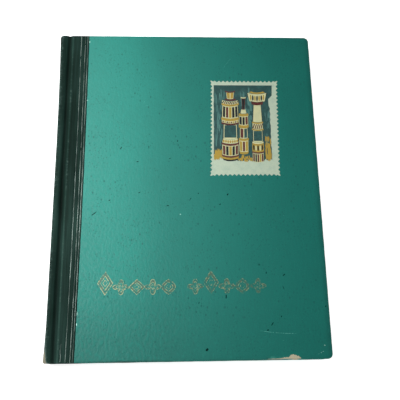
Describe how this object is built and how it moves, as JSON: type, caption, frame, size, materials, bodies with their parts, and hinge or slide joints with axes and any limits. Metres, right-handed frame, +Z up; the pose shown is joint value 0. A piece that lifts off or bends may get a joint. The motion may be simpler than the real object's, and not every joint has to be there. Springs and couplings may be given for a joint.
{
  "type": "stamp album",
  "caption": "Closed case-bound stock book for postage stamps, with a dark cloth spine, teal paper covers and card leaves with clear pocket strips.",
  "frame": {"origin": "centre of the closed album's base rectangle, on the surface it lies on", "axes": "+Z up through the front cover, +Y towards the head edge, the spine at -X"},
  "size_m": [0.236, 0.301, 0.0185],
  "materials": {
    "cover_paper": "teal-green embossed covering paper with fine dark specks, satin",
    "binding_cloth": "green-black coated binding cloth with fine grain, satin",
    "tooling_foil": "worn silver foil in tooled lines",
    "gold_foil": "worn gold foil ornaments",
    "printed_motif": "printed postage-stamp motif on the cover paper",
    "greyboard": "grey-tan binder's board, matt",
    "endpaper": "cream endpaper, matt",
    "kraft_liner": "brown kraft spine liner, matt",
    "mull": "open-weave mull, matt",
    "linen": "off-white linen guard, matt",
    "headband": "striped woven band",
    "leaf_card": "cream card, matt",
    "pocket_film": "clear glassine pocket strip, slight sheen",
    "glassine": "translucent glassine sheet"
  },
  "bodies": {
    "back_cover": {"back_board": "greyboard", "back_cover_paper": "cover_paper", "back_joint_cloth": "binding_cloth", "back_pastedown": "endpaper"},
    "spine": {"spine_board": "greyboard", "spine_cloth": "binding_cloth", "spine_liner": "kraft_liner", "mull_strip": "mull", "guard_stubs": "linen", "head_band": "headband", "tail_band": "headband"},
    "front_cover": {"front_board": "greyboard", "front_cover_paper": "cover_paper", "front_joint_cloth": "binding_cloth", "front_pastedown": "endpaper"},
    "front_flyleaf": {"front_flyleaf": "endpaper"},
    "back_flyleaf": {"back_flyleaf": "endpaper"},
    "leaf_1": {"leaf_1_card": "leaf_card", "leaf_1_hinge": "linen", "leaf_1_pockets": "pocket_film"},
    "leaf_2": {"leaf_2_card": "leaf_card", "leaf_2_hinge": "linen", "leaf_2_pockets": "pocket_film"},
    "leaf_3": {"leaf_3_card": "leaf_card", "leaf_3_hinge": "linen", "leaf_3_pockets": "pocket_film"},
    "leaf_4": {"leaf_4_card": "leaf_card", "leaf_4_hinge": "linen", "leaf_4_pockets": "pocket_film"},
    "leaf_5": {"leaf_5_card": "leaf_card", "leaf_5_hinge": "linen", "leaf_5_pockets": "pocket_film"},
    "leaf_6": {"leaf_6_card": "leaf_card", "leaf_6_hinge": "linen", "leaf_6_pockets": "pocket_film"},
    "leaf_7": {"leaf_7_card": "leaf_card", "leaf_7_hinge": "linen", "leaf_7_pockets": "pocket_film"},
    "leaf_8": {"leaf_8_card": "leaf_card", "leaf_8_hinge": "linen", "leaf_8_pockets": "pocket_film"},
    "interleaf_1": {"interleaf_1": "glassine"},
    "interleaf_2": {"interleaf_2": "glassine"},
    "interleaf_3": {"interleaf_3": "glassine"},
    "interleaf_4": {"interleaf_4": "glassine"},
    "interleaf_5": {"interleaf_5": "glassine"},
    "interleaf_6": {"interleaf_6": "glassine"},
    "interleaf_7": {"interleaf_7": "glassine"}
  },
  "joints": [
    {"name": "spine_tilt", "type": "hinge", "parent": "back_cover", "child": "spine", "pos_m": [-0.1178, 0, 0.0002], "axis": [0, -1, 0], "range_deg": [0, 90]},
    {"name": "front_cover_hinge", "type": "hinge", "parent": "spine", "child": "front_cover", "pos_m": [-0.1178, 0, 0.0183], "axis": [0, -1, 0], "range_deg": [0, 90]},
    {"name": "front_flyleaf_fold", "type": "hinge", "parent": "spine", "child": "front_flyleaf", "pos_m": [-0.1144, 0, 0.01525], "axis": [0, -1, 0], "range_deg": [0, 84]},
    {"name": "leaf_1_fold", "type": "hinge", "parent": "spine", "child": "leaf_1", "pos_m": [-0.1144, 0, 0.0145], "axis": [0, -1, 0], "range_deg": [0, 81]},
    {"name": "interleaf_1_fold", "type": "hinge", "parent": "spine", "child": "interleaf_1", "pos_m": [-0.1144, 0, 0.01375], "axis": [0, -1, 0], "range_deg": [0, 78.8]},
    {"name": "leaf_2_fold", "type": "hinge", "parent": "spine", "child": "leaf_2", "pos_m": [-0.1144, 0, 0.013], "axis": [0, -1, 0], "range_deg": [0, 76.6]},
    {"name": "interleaf_2_fold", "type": "hinge", "parent": "spine", "child": "interleaf_2", "pos_m": [-0.1144, 0, 0.01225], "axis": [0, -1, 0], "range_deg": [0, 74.4]},
    {"name": "leaf_3_fold", "type": "hinge", "parent": "spine", "child": "leaf_3", "pos_m": [-0.1144, 0, 0.0115], "axis": [0, -1, 0], "range_deg": [0, 72.2]},
    {"name": "interleaf_3_fold", "type": "hinge", "parent": "spine", "child": "interleaf_3", "pos_m": [-0.1144, 0, 0.01075], "axis": [0, -1, 0], "range_deg": [0, 70]},
    {"name": "leaf_4_fold", "type": "hinge", "parent": "spine", "child": "leaf_4", "pos_m": [-0.1144, 0, 0.01], "axis": [0, -1, 0], "range_deg": [0, 67.8]},
    {"name": "interleaf_4_fold", "type": "hinge", "parent": "spine", "child": "interleaf_4", "pos_m": [-0.1144, 0, 0.00925], "axis": [0, -1, 0], "range_deg": [0, 65.6]},
    {"name": "back_flyleaf_fold", "type": "hinge", "parent": "spine", "child": "back_flyleaf", "pos_m": [-0.1144, 0, 0.00325], "axis": [0, 1, 0], "range_deg": [0, 84]},
    {"name": "leaf_8_fold", "type": "hinge", "parent": "spine", "child": "leaf_8", "pos_m": [-0.1144, 0, 0.004], "axis": [0, 1, 0], "range_deg": [0, 81]},
    {"name": "interleaf_7_fold", "type": "hinge", "parent": "spine", "child": "interleaf_7", "pos_m": [-0.1144, 0, 0.00475], "axis": [0, 1, 0], "range_deg": [0, 78.8]},
    {"name": "leaf_7_fold", "type": "hinge", "parent": "spine", "child": "leaf_7", "pos_m": [-0.1144, 0, 0.0055], "axis": [0, 1, 0], "range_deg": [0, 76.6]},
    {"name": "interleaf_6_fold", "type": "hinge", "parent": "spine", "child": "interleaf_6", "pos_m": [-0.1144, 0, 0.00625], "axis": [0, 1, 0], "range_deg": [0, 74.4]},
    {"name": "leaf_6_fold", "type": "hinge", "parent": "spine", "child": "leaf_6", "pos_m": [-0.1144, 0, 0.007], "axis": [0, 1, 0], "range_deg": [0, 72.2]},
    {"name": "interleaf_5_fold", "type": "hinge", "parent": "spine", "child": "interleaf_5", "pos_m": [-0.1144, 0, 0.00775], "axis": [0, 1, 0], "range_deg": [0, 70]},
    {"name": "leaf_5_fold", "type": "hinge", "parent": "spine", "child": "leaf_5", "pos_m": [-0.1144, 0, 0.0085], "axis": [0, 1, 0], "range_deg": [0, 67.8]}
  ],
  "couplings": [
    {"joint": "front_flyleaf_fold", "follows": "front_cover_hinge", "ratio": 0.93333},
    {"joint": "leaf_1_fold", "follows": "front_cover_hinge", "ratio": 0.9},
    {"joint": "interleaf_1_fold", "follows": "front_cover_hinge", "ratio": 0.87555},
    {"joint": "leaf_2_fold", "follows": "front_cover_hinge", "ratio": 0.85111},
    {"joint": "interleaf_2_fold", "follows": "front_cover_hinge", "ratio": 0.82667},
    {"joint": "leaf_3_fold", "follows": "front_cover_hinge", "ratio": 0.80222},
    {"joint": "interleaf_3_fold", "follows": "front_cover_hinge", "ratio": 0.77778},
    {"joint": "leaf_4_fold", "follows": "front_cover_hinge", "ratio": 0.75333},
    {"joint": "interleaf_4_fold", "follows": "front_cover_hinge", "ratio": 0.72889},
    {"joint": "back_flyleaf_fold", "follows": "spine_tilt", "ratio": 0.93333},
    {"joint": "leaf_8_fold", "follows": "spine_tilt", "ratio": 0.9},
    {"joint": "interleaf_7_fold", "follows": "spine_tilt", "ratio": 0.87555},
    {"joint": "leaf_7_fold", "follows": "spine_tilt", "ratio": 0.85111},
    {"joint": "interleaf_6_fold", "follows": "spine_tilt", "ratio": 0.82667},
    {"joint": "leaf_6_fold", "follows": "spine_tilt", "ratio": 0.80222},
    {"joint": "interleaf_5_fold", "follows": "spine_tilt", "ratio": 0.77778},
    {"joint": "leaf_5_fold", "follows": "spine_tilt", "ratio": 0.75333}
  ]
}
